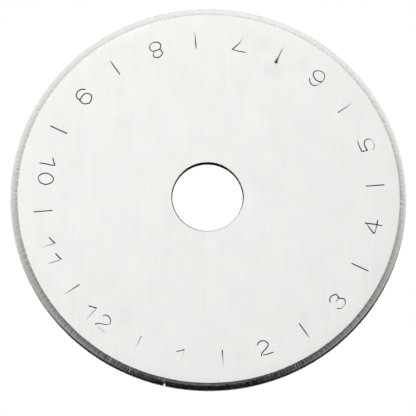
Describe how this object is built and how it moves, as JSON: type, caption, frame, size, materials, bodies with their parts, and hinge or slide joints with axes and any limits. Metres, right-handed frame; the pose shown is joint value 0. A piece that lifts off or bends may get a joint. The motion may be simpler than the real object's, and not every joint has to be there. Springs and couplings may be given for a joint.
{
  "type": "rotary cutter blade",
  "caption": "Thin round steel blade with a plain central bore, a rim ground sharp from both faces, and numbered index marks round one face.",
  "frame": {"origin": "on the bore axis at the lower face, the one without marks", "axes": "+Z along the bore axis, out of the marked face; +X and +Y lie in the lower face, and the index lines start 6.5 degrees round from +X"},
  "size_m": [0.045, 0.045, 0.0007],
  "materials": {
    "blade_steel": "satin faces with a fine straight grain, radially ground rim"
  },
  "bodies": {
    "root": {"blade": "blade_steel"}
  },
  "joints": []
}
